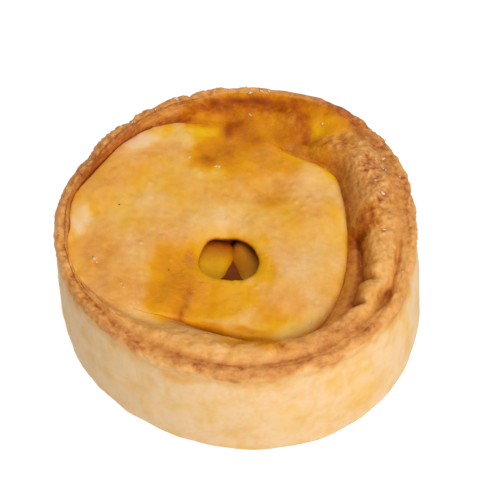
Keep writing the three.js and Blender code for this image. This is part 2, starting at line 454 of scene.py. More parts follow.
# A patch is (x, y, half length, half width, turn in degrees, bake, curry, fat): it adds softly to all three
def patchSum(x, y, patches):
    bake = curry = fat = 0.0
    for px, py, along, across, turn, more, stain, shine in patches:
        dx, dy = x - px, y - py
        if math.hypot(dx, dy) > pastry["patchReach"] * max(along, across):
            continue
        c, s = math.cos(math.radians(turn)), math.sin(math.radians(turn))
        u, v = (dx * c + dy * s) / along, (dy * c - dx * s) / across
        share = math.exp(-(u * u + v * v) ** pastry["patchEdge"])
        bake += share * more
        curry += share * stain
        fat += share * shine
    return bake, curry, fat


def paint(vert, layers, bake, curry, fat, paintedShade):
    vert[layers["bake"]] = clamp(bake)
    vert[layers["curry"]] = clamp(curry, 0, pastry["mostCurry"])
    vert[layers["fat"]] = clamp(fat)
    vert[layers["paintedShade"]] = clamp(paintedShade)


# Uneven browning and staining in patches of a few mm
def unevenBake(x, y, z):
    return layeredLumps(x, y, z, pastry["unevenBake"])


def unevenStain(x, y, z):
    return layeredLumps(x, y, z, pastry["unevenStain"])


# Shifts a place by a few mm, so that no patch keeps a clean edge
def wander(x, y, z):
    size, grain = pastry["wander"]
    shifts = [size * lumps(x, y, z, grain, seed) for seed in pastry["wanderSeeds"]]
    return x + shifts[0], y + shifts[1]


# The case: foot, wall, thin outer rim, groove, rolled collar and the hollow under the lid
case = {
    "steps": 760,
    "wallRows": 26,
    "rimRows": 24,
    "collarRows": 60,
    "footRows": 4,
    "baseShares": (0.35, 0.7),
    "footRounding": 1.8,
    "wallStart": 0.06,  # share of the wall's height that the rounded foot takes
    "wallBelly": 0.5,
    "wallLumps": [(0.3, 5.5, 0.0), (0.1, 1.8, 4.4)],
    # Each point of the rim is (outwards, below the crest)
    "rimProfile": [(-0.3, 4.2), (0.1, 2.1), (-0.15, 0.8), (-1.1, 0.0), (-2.5, 0.2)],
    "rimChips": [(107, 0.9, 0.6), (121, 1.8, 0.5), (130, 2, 0.6), (148, 2.2, 0.4), (-20, 1.5, 0.4)],
    "chipDrop": 0.7,  # mm down for each mm in
    "collarSpan": (100, 406),  # all but the back wall
    "collarFade": 8,
    "collarRise": 0.8,
    "fullWidth": 4.0,  # a narrower collar has less relief
    "shoulderShare": 0.3,
    "toePoints": [  # (degrees, share of the width where the roll ends): two folds at the right
        (-68, 0.94), (-54, 0.84), (-46, 0.72), (-40, 0.66), (-37, 0.46), (-34, 0.68),
        (-28, 0.72), (-25, 0.54), (-22, 0.68), (-11, 0.74), (-5, 0.82), (1, 0.98),
    ],
    "faceRoundness": 2.2,
    "faceRoundnessSwells": [
        (-95, 28, -0.6), (-48, 12, 2), (-20, 14, 3), (18, 26, 3), (-140, 24, -0.6), (150, 35, 1),
    ],
    "bareRoundness": 0.6,
    "collarMounds": [
        (34.5, -11, 2.6, 0.5), (32.8, -19.4, 2.4, 0.6), (33, 1, 3.2, -0.6), (33, 8.2, 4, 0.8),
        (37, 15, 4, 0.7), (31, 23, 4, 0.7), (27.5, 27.6, 2.2, -0.8), (24, 33.5, 4, 1.2),
        (17.2, 32, 2.2, -0.4), (12, 36, 3.6, 0.8), (4, 37, 4, 0.6), (-2, 37.5, 2.2, -0.8),
        (-8, -36, 5, 0.5), (9, -37, 5, 0.4),
    ],
    "knobs": [(0.4, 5.5, 0.0), (0.2, 2.6, 3.1)],  # soft lumps of the rolled pastry
    "coarseCrumb": (0.7, 2.3, 4.2),  # height, size and seed
    "fineCrumb": (0.42, 1.2, 6.1),
    "roughCrumb": (0.55, 2.4),  # height and grain
    "crumbRelief": 0.5,  # share of the full crumb relief, more at the right and the back left
    "crumbReliefSwells": [
        (20, 26, 0.4), (80, 20, -0.2), (135, 30, 0.3), (-150, 15, 0.2), (-75, 50, -0.2), (55, 9, -0.4),
    ],
    "grooveInset": 1.9,
    "grooveInsetSwells": [(-88, 30, -1.1)],
    "grooveWidth": 0.7,
    "grooveWidthSwells": [(-30, 6, 0.8)],
    "grooveDepth": 0.2,
    "grooveSwells": [(-62, 20, 0.4), (-100, 18, 0.2), (-15, 12, 1.0), (-152, 12, 0.9), (150, 36, -0.2)],
    "slotSwells": [(-30, 6, 3)],  # one deep slot at the front right
    "gap": 0.08,
    "ledgeWidth": 4.0,
    "ledgeDrop": 1.5,
    "wallThickness": 4.6,
    "baseThickness": 4.5,
    "hollowTop": 18.4,
    "hollowCorner": [(0.6, 2.0), (2.4, 0.0)],  # (in from the wall, above the floor)
    "hollowTone": (0.5, 0.8, 0.6),  # bake, curry and fat inside the pie
    # Browning, stains and shine, from the creases to the wall, rim, collar and bare back wall, with painted
    # shade in the creases
    "fineReach": (3, 2),  # rows and steps over which a crease is looked for
    "broadReach": (9, 6),
    "fineCrease": (0.4, -0.1, 0.14),  # painted shade in creases and painted light on crumbs, as bake for each mm of depth, least and most
    "broadCrease": (0.12, -0.06, 0.12),
    # how much painted shade the creases get, for each mm of depth
    "creaseShade": 0.6,
    "wallBake": 0.07,
    "wallUneven": 0.36,
    "wallEdge": (3.0, 7.5),  # below the crest, where the browned edge fades out
    "wallEdgeBake": 0.3,
    "wallEdgeCurry": 0.1,
    "wallRagged": [(1.8, 3.5, 61.3), (2.4, 8.0, 63.7)],
    "footEdge": (0.4, 2.0),  # above the table, where the browned foot fades out
    "footBake": 0.3,
    "wallStain": 0.85,
    "wallStainFrom": 0.05,
    "wallFat": 0.15,
    "rimBake": 0.65,
    "rimBakeSwells": [
        (-75, 40, 0.05), (54, 26, 0.2), (-8, 20, -0.06), (125, 42, 0.04), (88, 14, -0.16), (-178, 16, -0.1),
    ],
    "rimUneven": 0.28,
    "rimStart": (0.05, 0.5),  # share of the rim over which it browns
    "rimStartBake": 0.34,
    "rimRagged": [(0.3, 3.0, 67.9), (0.4, 8.0, 63.7)],
    "rimCurry": 0.4,
    "rimCurrySwells": [(140, 30, 1.6), (70, 20, 0.8), (-30, 5, 2.5)],
    "flakeSwells": [(-32, 7, 1.6), (-110, 30, -0.6)],  # how much lower the browning hangs on the wall
    "rimFlakes": 0.3,  # share of the rim for each mm of that
    "rimFatBand": (0.2, 0.6),
    "rimStartFat": 0.1,
    "rimFat": 0.6,
    "collarFat": 0.45,
    "collarFatSwells": [(20, 26, 0.2), (-150, 20, 0.2)],
    "rimReachSwells": [(-88, 30, -0.08)],  # how far in the rim's browning reaches
    "rimBand": (0.1, 0.25),  # share of the collar where the rim's browning ends
    "bareBand": (0.0, 0.2),
    "toeBand": (-0.28, 0.04),  # beside the roll's end, where the ditch darkens with browning and painted shade
    "seamBand": (0.82, 0.98),
    "meltBand": (0.35, 1.0),  # where the collar runs into the lid
    "meltToneBand": (0.35, 0.95),
    "collarUneven": 0.2,
    "collarStain": 0.3,
    "collarBake": 0.52,
    "collarBakeSwells": [(16, 28, 0.12), (-52, 14, 0.12), (-25, 14, -0.1), (-95, 20, -0.14), (140, 36, 0.3)],
    # The ditch between collar and lid: browned, and painted darker as shade
    "ditchBakeAndShade": 0.71,
    "ditchShadeMore": 0.06,  # painted shade: at least this much darker than the roll above it
    "ditchCurry": 0.1,
    "ditchCurrySwells": [(-25, 50, 0.45)],
    "seamShade": 0.04,  # painted shade along the lid's edge
    "seamShadeSwells": [(150, 40, 0.24), (-76, 28, 0.22)],
    "bareBake": 0.78,  # the back wall, which has no collar
    "bareCurry": 0.2,
    "bareFat": 0.15,
    "wetSwells": [(80, 24, 0.9)],  # the back wall is soaked with sauce
    "greasePatches": [  # yellow grease on the wall, placed by degrees and height
        (-50, 10, 7, 5, 0, 0, 0.45, 0), (-60, 20, 4, 4, 0, 0, 0.3, 0), (-28, 18, 3, 7, 0, 0, 0.4, 0),
        (-75, 12, 5, 4, 0, 0, 0.25, 0), (-100, 15, 4, 5, 0, 0, 0.25, 0), (-21, 24, 2, 4, 0, 0, 0.4, 0),
        (60, 14, 8, 6, 0, 0, 0.3, 0), (150, 12, 7, 6, 0, 0, 0.3, 0),
    ],
    "collarPatches": [
        (32.6, 2, 5, 3.4, 80, 0.24, 0.7, 0.4),  # red patch at the right
        (34, 17, 8, 5, 70, 0, 0, 0.6),
        (24.2, 33, 5.2, 3, -50, -0.26, 0.9, 0.1),  # golden flap
        (20.3, 33, 3.6, 1.2, 80, -0.16, 0.5, 0),
        (15.6, 32.6, 5, 2.4, 80, 0.08, 0.4, 0),
        (20.5, 26.5, 6, 3.6, -42, 0.02, 0.7, 0.3),
        (20.5, 36, 4, 2.6, -50, -0.2, 0.2, 0),
        (27.5, 26.5, 2.6, 2, 0, 0.12, 0.3, 0.2),
        (6.5, 36.4, 5, 3.2, 0, -0.16, 0, 0),
        (-1, 41.4, 3.6, 1.8, 10, 0.06, 0.6, 0),
        (8, 40.2, 9, 1.8, -8, 0.13, 0.5, 0),
        (-11, 39, 6, 2.2, 8, 0.2, 1, 0),
        (-36, -18, 9, 2.6, -62, 0.1, 0.1, 0.1),
        (2.5, -35.2, 9, 2.4, -8, 0.18, 0.8, 0.1),  # soaked ditch at the front
        (35.8, -20.9, 3.4, 1.4, 60, 0.12, 0.3, 0.1),
        (32.3, -20.6, 2.4, 2, 0, 0.14, 0.1, 0),
    ],
}


def collarShare(angle):
    return spanShare(angle, case["collarSpan"], case["collarFade"])


# How far across the collar the roll reaches before it drops to the ditch
def toeShare(angle):
    degrees = turnBetween(angle, 0)
    points = case["toePoints"]
    for (first, a), (last, b) in zip(points, points[1:]):
        if degrees < last:
            return lerp(a, b, soften(degrees, first, last))
    return points[-1][1]


def freeShare(width):
    return min(1.0, width / case["fullWidth"])


def collarHeight(angle, share, width, x, y):
    roll = collarShare(angle)
    top = crestHeight(angle) - case["rimProfile"][-1][1]
    ditch = around(form, "ditchDepth", angle)
    toe = lidTop(*lidEdge(angle)) - ditch * (1 - fused(angle))
    shoulder = case["shoulderShare"]
    down = clamp((share - shoulder) / (toeShare(angle) - shoulder))
    rolled = down ** around(case, "faceRoundness", angle)
    slope = lerp(top, toe, lerp(share ** case["bareRoundness"], rolled, roll))
    broken = clamp(0.55 + 1.5 * lumps(x, y, 0, 6.0, 40.1), 0.1, 1.2)  # the groove comes and goes
    groove = case["grooveDepth"] * roll + swells(angle, case["grooveSwells"]) * broken
    groove += swells(angle, case["slotSwells"])
    wide = around(case, "grooveWidth", angle)
    cut = groove * math.exp(-((share * width - around(case, "grooveInset", angle)) / wide) ** 2)
    notch = around(form, "notchDepth", angle) * (1 - fused(angle))
    cut += notch * math.exp(-((1 - share) * width / form["notchWidth"]) ** 2)
    rise = case["collarRise"] * roll * math.sin(math.pi * share) + mounds(x, y, case["collarMounds"])
    return slope - cut * freeShare(width) + rise


# Rounded crumbs with creases between them
def nodules(x, y, z, size, seed):
    near = noise.voronoi(Vector((x / size + seed, y / size - seed, z / size + seed)))[0]
    return 0.55 - near[0]


# Crusty surface of the baked edge, in mm, with the coarse crumbs in places only
def crumble(x, y, z):
    height, size, seed = case["coarseCrumb"]
    coarse = height * nodules(x, y, z, size, seed) * clamp(0.5 + 1.3 * lumps(x, y, z, 6.0, 8.8))
    height, grain = case["roughCrumb"]
    rough = height * noise.fractal(Vector((x, y, z)) / grain, 0.6, 2.0, 4)
    height, size, seed = case["fineCrumb"]
    return coarse + rough + height * nodules(x, y, z, size, seed)


# Soft lumps and crumbs together, in mm
def crustRelief(angle, x, y, z, crumbShare=1.0):
    crumbs = around(case, "crumbRelief", angle)
    return crumble(x, y, z) * crumbs * crumbShare + layeredLumps(x, y, z, case["knobs"])


def collarPoint(angle, share):
    ox, oy = polar((0, 0), rimRadius(angle) + case["rimProfile"][-1][0], angle)
    ix, iy = lidEdge(angle, case["gap"])
    width = math.hypot(ox - ix, oy - iy)
    x, y = lerp(ox, ix, share), lerp(oy, iy, share)
    z = collarHeight(angle, share, width, x, y)
    free = freeShare(width) * math.sin(math.pi * clamp(share * 0.92 + 0.15, 0, 0.95))
    inGroove = math.exp(-((share * width - around(case, "grooveInset", angle)) / 1.2) ** 2)
    relief = crustRelief(angle, x, y, z, 1 - 0.6 * inGroove) * lerp(0.35, 1.0, free)
    melt = fused(angle) * soften(share, *case["meltBand"])
    return x, y, lerp(z, lidSurface(x, y), melt), relief * (1 - melt)


# A smooth curve through the points of a profile, with t from 0 to 1
def alongProfile(points, t):
    place = clamp(t) * (len(points) - 1)
    i = min(int(place), len(points) - 2)
    u = place - i
    before, a, b, after = (points[max(0, min(len(points) - 1, i + k))] for k in (-1, 0, 1, 2))
    out = []
    for p, q, r, s in zip(before, a, b, after):
        out.append(0.5 * (2 * q + (r - p) * u + (2 * p - 5 * q + 4 * r - s) * u * u
                          + (3 * q - p - 3 * r + s) * u ** 3))
    return out


def wallPoint(angle, share):
    out, drop = case["rimProfile"][0]
    top = crestHeight(angle) - drop
    radius = lerp(footRadius(angle), rimRadius(angle) + out, share)
    radius += case["wallBelly"] * math.sin(math.pi * share)
    z = lerp(case["wallStart"] * top, top, share)
    x, y = polar((0, 0), radius, angle)
    radius += layeredLumps(x, y, z, case["wallLumps"])
    return (*polar((0, 0), radius, angle), z)


def rimPoint(angle, t):
    out, drop = alongProfile(case["rimProfile"], t)
    chip = swells(angle, case["rimChips"])
    radius = rimRadius(angle) + out - chip
    z = crestHeight(angle) - drop - case["chipDrop"] * chip
    x, y = polar((0, 0), radius, angle)
    return x, y, z, crustRelief(angle, x, y, z) * lerp(0.3, 1.0, soften(t, 0.0, 0.35))


def footPoint(angle, t):
    x, y, z = wallPoint(angle, 0.0)
    turn = 0.5 * math.pi * t
    edge = math.hypot(x, y) - case["footRounding"]
    return (*polar((0, 0), edge + case["footRounding"] * math.sin(turn), angle), z * (1 - math.cos(turn)))


def underLid(angle, inset, drop):
    x, y = lidEdge(angle, -inset)
    return x, y, lidUnderside(x, y) - drop


def hollowPoint(angle, inset, height, clear=0.0):
    wall = min(footRadius(angle), rimRadius(angle)) - case["wallThickness"] - clear
    return (*polar((0, 0), wall - inset, angle), height)


def ringOf(point, *values):
    return lambda angle: point(angle, *values)


def caseRows():
    floor = case["baseThickness"]
    rows = [lambda angle: (0, 0, 0)]
    zones = ["base"]

    def add(zone, point, *values):
        rows.append(ringOf(point, *values))
        zones.append(zone)

    for share in case["baseShares"]:
        add("base", lambda angle, s: (*polar((0, 0), s * footRadius(angle), angle), 0), share)
    for i in range(case["footRows"] + 1):
        add("foot", footPoint, i / case["footRows"])
    for i in range(1, case["wallRows"]):
        add("wall", wallPoint, i / case["wallRows"])
    for i in range(case["rimRows"]):
        add("rim", rimPoint, i / case["rimRows"])
    for i in range(case["collarRows"] + 1):
        add("collar", collarPoint, i / case["collarRows"])
    add("hollow", underLid, -case["gap"], case["gap"])
    add("hollow", underLid, case["ledgeWidth"], case["gap"])
    add("hollow", underLid, case["ledgeWidth"], case["ledgeDrop"])
    add("hollow", hollowPoint, 0, case["hollowTop"])
    for inset, above in case["hollowCorner"]:
        add("hollow", hollowPoint, inset, floor + above)
    add("hollow", lambda angle: (0, 0, floor))
    return rows, zones


def paintWall(vert, layers, angle, place):
    ragged = layeredLumps(*place, case["wallRagged"]) - swells(angle, case["flakeSwells"])
    edge = 1 - soften(crestHeight(angle) - place.z + ragged, *case["wallEdge"])
    bottom = 1 - soften(place.z, *case["footEdge"])
    bake = case["wallBake"] + case["wallEdgeBake"] * edge + case["footBake"] * bottom
    bake += case["wallUneven"] * unevenBake(*place)
    _, grease, _ = patchSum(math.degrees(angle), place.z, case["greasePatches"])
    stain = case["wallStain"] * max(0, unevenStain(*place) - case["wallStainFrom"])
    paint(vert, layers, bake, case["wallEdgeCurry"] * edge + stain + grease, case["wallFat"], 0)


# Painted shade and light: creases are given a darker browning than the crumbs and ridges beside them, which
# are painted lighter
def paintedCreaseShade(fine, broad):
    total = 0.0
    for depth, (each, least, most) in ((fine, case["fineCrease"]), (broad, case["broadCrease"])):
        total += clamp(each * depth, least, most)
    return total


def paintRim(vert, layers, angle, t, place, fine, broad):
    ragged = layeredLumps(*place, case["rimRagged"])
    ragged -= case["rimFlakes"] * swells(angle, case["flakeSwells"])
    start = soften(t - ragged, *case["rimStart"])
    bake = lerp(case["rimStartBake"], around(case, "rimBake", angle), start)
    # painted shade in the creases, painted light on the crumbs
    bake += case["rimUneven"] * unevenBake(*place) + paintedCreaseShade(fine, broad)
    curry = max(0, unevenStain(*place)) * around(case, "rimCurry", angle)
    fat = lerp(case["rimStartFat"], case["rimFat"], soften(t, *case["rimFatBand"]))
    paint(vert, layers, bake, curry, fat, case["creaseShade"] * fine)


# The back wall is bare, the rest is rolled, and where lid and collar are one it takes the lid's tone
def paintCollar(vert, layers, angle, share, place, fine, broad):
    roll = collarShare(angle)
    deep = soften(share - toeShare(angle), *case["toeBand"])
    bake, curry, fat = patchSum(*wander(*place), case["collarPatches"])

    rim = around(case, "rimBake", angle)
    top = around(case, "collarBake", angle)
    inside = soften(share - swells(angle, case["rimReachSwells"]), *case["rimBand"])
    # painted shade and browning in the ditch
    ditch = max(case["ditchBakeAndShade"], top + case["ditchShadeMore"])
    rolled = lerp(lerp(rim, top, inside), ditch, deep)
    bare = lerp(rim, case["bareBake"], soften(share, *case["bareBand"]))
    # painted shade along the lid's edge
    seam = around(case, "seamShade", angle)
    bake += lerp(bare, rolled, roll) + case["collarUneven"] * unevenBake(*place)
    # painted shade in the creases and painted light on the crumbs
    bake += paintedCreaseShade(fine, broad) + seam * soften(share, *case["seamBand"])

    wet = case["bareCurry"] + swells(angle, case["wetSwells"])
    soaked = case["ditchCurry"] + swells(angle, case["ditchCurrySwells"]) * deep
    curry += lerp(wet, soaked, roll) + case["collarStain"] * unevenStain(*place)
    greasy = around(case, "collarFat", angle)
    fat += lerp(case["bareFat"], greasy, roll)

    melt = fused(angle) * soften(share, *case["meltToneBand"])
    tones = [lerp(own, lids, melt) for own, lids in zip((bake, curry, fat), lidTone(*place))]
    paint(vert, layers, *tones, case["creaseShade"] * fine)


def makeCase():
    rows, zones = caseRows()
    steps = case["steps"]
    bm = flatRings(len(rows), steps)
    keep = wrapRings(bm, rows)
    layers = pointLayers(bm)
    closeMesh(bm)
    raiseRelief(bm, keep)
    reliefs = gridOf(bm, keep, len(rows), steps, lambda vert: vert[keep["relief"]])
    heights = gridOf(bm, keep, len(rows), steps, lambda vert: vert.co.z / mm)
    fine = hollowMap(reliefs, *case["fineReach"])
    broad = hollowMap(heights, *case["broadReach"])
    firstRim, firstCollar = zones.index("rim"), zones.index("collar")
    for vert in bm.verts:
        row, angle = vert[keep["row"]], vert[keep["angle"]]
        step = stepOf(angle, steps)
        hollows = fine[row, step], broad[row, step]
        place = vert.co / mm
        if zones[row] == "rim":
            paintRim(vert, layers, angle, (row - firstRim) / case["rimRows"], place, *hollows)
        elif zones[row] == "collar":
            paintCollar(vert, layers, angle, (row - firstCollar) / case["collarRows"], place, *hollows)
        elif zones[row] == "hollow":
            paint(vert, layers, *case["hollowTone"], 0)
        else:
            paintWall(vert, layers, angle, place)
    finishPiece(bm, "crustCase", makePastry("crustPastry"), "case")


# The lid: a pressed disc with a round edge, dents and the steam hole
lid = {
    "steps": 640,
    "topRows": 84,
    "underShares": (0.05, 0.5, 0.985),
    # Each point of a profile is (share of the way out from the hole, mm below the top)
    "edgeProfile": [(1.0, 3.2), (1.003, 2.1), (0.992, 1.1), (0.97, 0.45), (0.94, 0.1), (0.9, 0.0)],
    "holeProfile": [(0.12, 0.0), (0.05, 0.3), (0.01, 0.9), (0.0, 1.6), (0.012, 2.5)],
    "edgeRows": 12,
    "holeRows": 12,
    "fusedFlat": 0.97,  # share of the rounded edge that is pressed flat
    "crispFlat": 0.7,
    "flatBand": (0.8, 0.95),
    "blisters": [(0.26, 3.0, 3.3, 0.22), (0.12, 1.7, 8.1, 0.2)],  # height, cell size, seed, share of cells
    "bake": 0.28,
    "dryUneven": 0.2,
    "soakedUneven": 0.1,
    "bakeLumps": [(0.16, 12, 51.7)],
    "curry": 0.55,
    "curryUneven": 0.5,
    "curryLumps": [(0.6, 11, 47.3)],
    "fat": 0.22,
    # Painted shade on the low part of the lid's edge, where it meets the collar
    "sideShadeBake": 0.74,
    "sideBand": (0.1, 0.35),  # share of the way up the edge, where the painted shade fades out
    # Painted shade down the steam hole's wall, which is also stained yellow with sauce
    "holeShadeBake": 0.88,
    "holeBand": (0.35, 0.7),  # share of the way down the hole, where the painted shade comes in
    "blisterBake": 0.2,
    "creaseReach": (2, 2),  # rows and steps over which a crease is looked for
    "paintedCreaseShade": (0.5, -0.1, 0.2),  # painted shade in creases and painted light on crumbs, for each mm of depth, least and most
    # how much painted shade the lid's creases get, for each mm of depth
    "creaseShade": 0.8,
    "patches": [
        (-40.7, 3.6, 5, 2.8, 85, -0.24, -0.7, 0),  # cream by the left edge
        (-26, 29, 3.8, 3, 40, -0.32, -0.6, 0),  # cream at the back
        (-15.2, 33, 8.8, 3, 8, -0.34, 0.5, 0),  # yellow wedge
        (-3.8, 34.4, 2.9, 5, 0, 0.3, 0.9, 0.05),
        (-8.4, 33, 2, 3, 0, -0.12, 0.5, 0),
        (-9.6, 36.8, 3.6, 2.2, 10, 0.5, 0.8, 0.05),
        (-0.4, 36.8, 4.5, 1.4, 80, 0.04, 0.4, 0),
        (-1.2, 32.6, 2.8, 4.5, 0, 0.16, 0.6, 0.05),
        (1, 39, 7, 4, 0, 0.3, 0.9, 0),
        (6.5, 34.5, 9.5, 5.5, -5, 0.32, 0.7, 0.05),  # soaked back wall
        (11.5, 32.4, 2.6, 5, 10, 0.16, 0.3, 0),
        (9, 26, 8, 4.5, -20, 0.12, 0.4, 0.1),
        (-7.5, 26.6, 6.5, 4.4, -6, 0.4, 0.8, 0.1),  # dark orange at the back
        (-9.5, 22.8, 4, 2.6, 10, 0.26, 0.5, 0.1),
        (3, 23.5, 8, 5, -20, 0.12, 0.3, 0.2),
        (2, 31, 5, 4, 0, 0.1, 0.5, 0.05),
        (15, 27, 6, 1.2, -25, -0.24, 0.5, 0.2),  # yellow line of the back right edge
        (25, 19, 7, 1.2, -65, -0.24, 0.5, 0.2),
        (-35.7, -5.2, 6, 6, 0, 0.15, -0.15, 0),
        (-20, 19.5, 9, 6, 20, 0.0, 0.28, 0),
        (0.4, 6.5, 7, 4, 0, -0.02, -0.1, 0),
        (8.5, 14, 7, 3.4, 35, 0.16, -0.2, 0),  # painted shade in the trough
        (21.2, 17.2, 5, 5, 0, -0.06, 0, 0),
        (-15.5, -8.5, 6.5, 6, 20, 0.2, 1.2, 0.2),  # sauce stains round the hole
        (-4.8, -18.5, 9, 6, -8, 0.1, 1.2, 0.25),
        (-15.5, -18, 6.5, 6, 0, 0.22, 1.2, 0.2),
        (-19, -23.6, 5, 2.4, -20, 0.05, 0.9, 0.1),
        (6.8, -9.5, 4, 6, 0, 0.04, 0.5, 0.2),
        (-2.5, -6.7, 11, 10, 0, 0.04, 0.5, 0.15),
        (27, -9, 2.4, 8, -10, -0.08, 0.4, 0),
        (-31, 17, 5, 4, 30, 0.12, -0.1, 0),
        (-30, -2, 9, 5, 10, 0.1, -0.1, 0),
        (20, 9, 4, 6, 10, 0.04, -0.1, 0),
        (-9, -27.8, 8, 1.6, -28, 0.28, 0.7, 0.1),  # olive line of the front edge
        (1.5, -30, 7, 1.8, -8, 0.26, 0.6, 0.1),
        (-13.2, -24.6, 4, 2.4, -25, 0.2, 0.4, 0.1),
        (13.6, -28.5, 6, 2.4, 15, -0.12, -0.3, 0),
        (-34.5, -19, 8, 3, -55, 0.12, 0.1, 0),
        (-13.4, -20.4, 6, 1.2, 84, 0.16, 0.6, 0.1),
        (-12.4, -7.4, 1.6, 3, 0, 0.2, -0.5, 0.3),
        (10.5, -21.4, 7, 5, 10, 0.16, 0.2, 0.1),
        (-29, -20, 11, 8, -40, 0.15, -0.38, 0),
    ],
}


# Small blisters of the baked lid, from 0 to 1, only in some cells
def blisters(x, y, size, seed, filled):
    distances, points = noise.voronoi(Vector((x / size + seed, y / size - seed, seed)))
    if 0.5 + 0.5 * noise.cell(points[0] * 5) > filled:
        return 0.0
    rise = clamp(1 - (distances[0] / 0.36) ** 2)
    return rise * rise


def lidPoint(angle, share, drop):
    hx, hy = holeEdge(angle)
    melt = fused(angle)
    ex, ey = lidEdge(angle, case["gap"] * melt)
    x, y = lerp(hx, ex, share), lerp(hy, ey, share)
    crisp = spanShare(angle, form["crispSpan"], form["crispFade"])
    flat = max(lid["fusedFlat"] * melt, lid["crispFlat"] * crisp) * soften(share, *lid["flatBand"])
    raised = sum(height * blisters(x, y, *cells) for height, *cells in lid["blisters"])
    return x, y, lidSurface(x, y) - drop * (1 - flat), raised


def lidUnder(angle, share):
    hx, hy = holeEdge(angle)
    ex, ey = lidEdge(angle)
    x, y = lerp(hx, ex, share), lerp(hy, ey, share)
    return x, y, lidUnderside(x, y)


def lidRows():
    rows = [ringOf(lidUnder, share) for share in lid["underShares"]]
    for i in range(lid["edgeRows"]):
        rows.append(ringOf(lidPoint, *alongProfile(lid["edgeProfile"], i / lid["edgeRows"])))
    outer, inner = lid["edgeProfile"][-1][0], lid["holeProfile"][0][0]
    for i in range(lid["topRows"]):
        rows.append(ringOf(lidPoint, lerp(outer, inner, i / lid["topRows"]), 0.0))
    for i in range(lid["holeRows"] + 1):
        rows.append(ringOf(lidPoint, *alongProfile(lid["holeProfile"], i / lid["holeRows"])))
    return rows


# Browning, curry and fat of the lid at a place
def lidTone(x, y, z):
    bake, curry, fat = patchSum(*wander(x, y, z), lid["patches"])
    uneven = lerp(lid["dryUneven"], lid["soakedUneven"], clamp(curry))
    bake += lid["bake"] + uneven * unevenBake(x, y, z) + layeredLumps(x, y, 0, lid["bakeLumps"])
    curry += lid["curry"] + lid["curryUneven"] * unevenStain(x, y, z)
    curry += layeredLumps(x, y, 0, lid["curryLumps"])
    return bake, curry, lid["fat"] + fat


def makeLid():
    rows = lidRows()
    steps = lid["steps"]
    bm = flatRings(len(rows), steps)
    keep = wrapRings(bm, rows)
    layers = pointLayers(bm)
    rims = [edge for edge in bm.edges if edge.is_boundary]
    bmesh.ops.bridge_loops(bm, edges=rims)  # closes the underside to the hole's wall
    closeMesh(bm)
    raiseRelief(bm, keep)
    heights = gridOf(bm, keep, len(rows), steps, lambda vert: vert.co.z / mm)
    hollows = hollowMap(heights, *lid["creaseReach"])
    each, least, most = lid["paintedCreaseShade"]
    for vert in bm.verts:
        row, angle, raised = (vert[keep[name]] for name in ("row", "angle", "relief"))
        upEdge = (row - len(lid["underShares"])) / lid["edgeRows"]
        downHole = 1 + (row - len(rows)) / lid["holeRows"]
        # painted shade on the lower part of the edge, except where lid and collar are one
        sideShade = (1 - soften(upEdge, *lid["sideBand"])) * (1 - fused(angle))
        # painted shade darkens the hole's wall further down, and sauce stains it
        inHole = soften(downHole, *lid["holeBand"])
        hollow = hollows[row, stepOf(angle, steps)] if upEdge > 1.25 else 0.0  # on the top only
        bake, curry, fat = lidTone(*(vert.co / mm))
        # painted shade in the top's creases, painted light on its crumbs
        bake += lid["blisterBake"] * raised + clamp(each * hollow, least, most)
        bake = lerp(lerp(bake, lid["sideShadeBake"], sideShade), lid["holeShadeBake"], inHole)
        paint(vert, layers, bake, lerp(curry, 1, inHole), fat + raised, lid["creaseShade"] * hollow)
    finishPiece(bm, "lidDisc", makePastry("lidPastry"), "lid")


# The filling under the lid, with the sauce that shows at the bottom of the steam hole
filling = {
    "steps": 120,
    "clear": 0.3,
    "topDrops": (2.1, 0.6),  # below the lid, at the shoulder and at the top
    "wellRings": [(13, 22.3), (11, 21.7), (10.4, 19.6)],  # (radius, height) round the steam hole
    "sauceLevel": 18.6,
    "sauceRadii": (9.5, 7, 4.5, 2),
    "ripple": 0.5,
    "rippleGrain": 3.0,
    "rippleBelow": 20,
    "sauceAndShade": (0.14, 0.028, 0.006, 1),
    "oil": (0.26, 0.06, 0.008, 1),
    "blotSize": 2.5,
    "rough": 0.4,
    "specular": 0.05,
    "bumpStrength": 0.4,
    "bumpDepth": 0.4,
}


def wellPoint(angle, radius, height):
    x, y = polar(form["holeCentre"], radius, angle)
    if height < filling["rippleBelow"]:
        height += filling["ripple"] * lumps(x, y, height, filling["rippleGrain"])
    return x, y, height


def makeFilling():
    gap = filling["clear"]
    floor = case["baseThickness"] + gap
    level = filling["sauceLevel"]
    rows = [lambda angle: (0, 0, floor)]
    for inset, above in reversed(case["hollowCorner"]):
        rows.append(ringOf(hollowPoint, inset, floor + above, gap))
    rows.append(ringOf(hollowPoint, 0, case["hollowTop"] - gap, gap))
    for drop in filling["topDrops"]:
        rows.append(ringOf(underLid, case["ledgeWidth"] + gap, drop))
    for radius, height in filling["wellRings"]:
        rows.append(ringOf(wellPoint, radius, height))
    for radius in filling["sauceRadii"]:
        rows.append(ringOf(wellPoint, radius, level))
    rows.append(lambda angle: (*form["holeCentre"], level))
    bm = flatRings(len(rows), filling["steps"])
    wrapRings(bm, rows)
    closeMesh(bm)
    material, tree, shader = newMaterial("currySauce")
    place = objectPlace(tree)
    blot = noiseNode(tree, place, filling["blotSize"])
    tree.links.new(mixColour(tree, blot, filling["sauceAndShade"], filling["oil"]), shader.inputs["Base Color"])
    setSockets(shader, {"Roughness": filling["rough"], "Specular IOR Level": filling["specular"]})
    addBump(tree, shader, blot, filling["bumpStrength"], filling["bumpDepth"] * mm)
    finishPiece(bm, "curryFilling", material, "filling")


